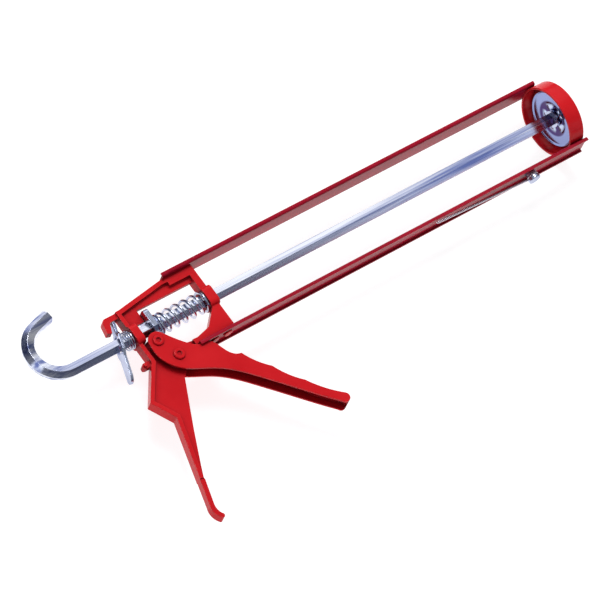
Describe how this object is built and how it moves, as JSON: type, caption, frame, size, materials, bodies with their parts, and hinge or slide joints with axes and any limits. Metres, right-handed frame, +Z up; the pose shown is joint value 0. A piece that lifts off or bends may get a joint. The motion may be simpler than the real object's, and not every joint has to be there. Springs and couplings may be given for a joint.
{
  "type": "caulking gun",
  "caption": "Open-frame caulking gun with cast body and handle, channel rails, nose ring, hexagonal push rod with hook, sheet-steel trigger and swing-out piercing wire.",
  "frame": {"origin": "bottom centre of the whole gun's box; the gun lies on its left side, as it rests on a bench", "axes": "+X along the push rod towards the nose, +Y towards the gun's top side (the handle points to -Y), +Z up, towards the gun's right side"},
  "size_m": [0.4731, 0.1945, 0.055],
  "materials": {
    "red_enamel": "gloss enamel",
    "zinc_plate": "bright zinc plate",
    "spring_steel": "bright drawn wire"
  },
  "bodies": {
    "body": {"body_casting": "red_enamel", "upper_rail": "red_enamel", "lower_rail": "red_enamel", "nose_ring": "red_enamel", "upper_rail_rivets": "red_enamel", "lower_rail_rivets": "red_enamel", "wire_rivet": "zinc_plate", "wire_spacer": "zinc_plate", "release_stop_pin": "zinc_plate", "pivot_washers": "zinc_plate", "main_spring": "spring_steel", "release_spring": "spring_steel"},
    "trigger": {"trigger": "red_enamel", "trigger_pivot_rivet": "red_enamel", "pusher_pin": "red_enamel"},
    "drive": {"drive_plate": "zinc_plate", "spring_washer": "zinc_plate"},
    "plunger": {"plunger_disc": "zinc_plate"},
    "rod": {"push_rod": "zinc_plate", "plunger_collar": "zinc_plate", "plunger_nut": "zinc_plate"},
    "release": {"release_plate": "zinc_plate"},
    "wire": {"piercing_wire": "zinc_plate"}
  },
  "joints": [
    {"name": "trigger_squeeze", "type": "hinge", "parent": "body", "child": "trigger", "pos_m": [-0.1405, 0.0209, 0.0275], "axis": [0, 0, -1], "range_deg": [0, 34], "stiffness_Nm_per_rad": 1, "springref_deg": -17.19},
    {"name": "drive_slide", "type": "slide", "parent": "body", "child": "drive", "axis": [1, 0, 0], "range_m": [0, 0.0102], "deforming": ["main_spring"]},
    {"name": "rod_slide", "type": "slide", "parent": "body", "child": "plunger", "axis": [1, 0, 0], "range_m": [-0.3, 0.002]},
    {"name": "rod_turn", "type": "hinge", "parent": "plunger", "child": "rod", "pos_m": [0.2277, 0.0492, 0.0275], "axis": [1, 0, 0], "continuous": true},
    {"name": "release_press", "type": "hinge", "parent": "body", "child": "release", "pos_m": [-0.1656, 0.0644, 0.0275], "axis": [0, 0, 1], "range_deg": [0, 12], "stiffness_Nm_per_rad": 0.3, "springref_deg": -11.46, "deforming": ["release_spring"]},
    {"name": "wire_swing", "type": "hinge", "parent": "body", "child": "wire", "pos_m": [0.1842, 0.0175, 0.0275], "axis": [0, 1, 0], "range_deg": [0, 180]}
  ],
  "couplings": [
    {"joint": "drive_slide", "follows": "trigger_squeeze", "m_per_rad": 0.017172}
  ]
}
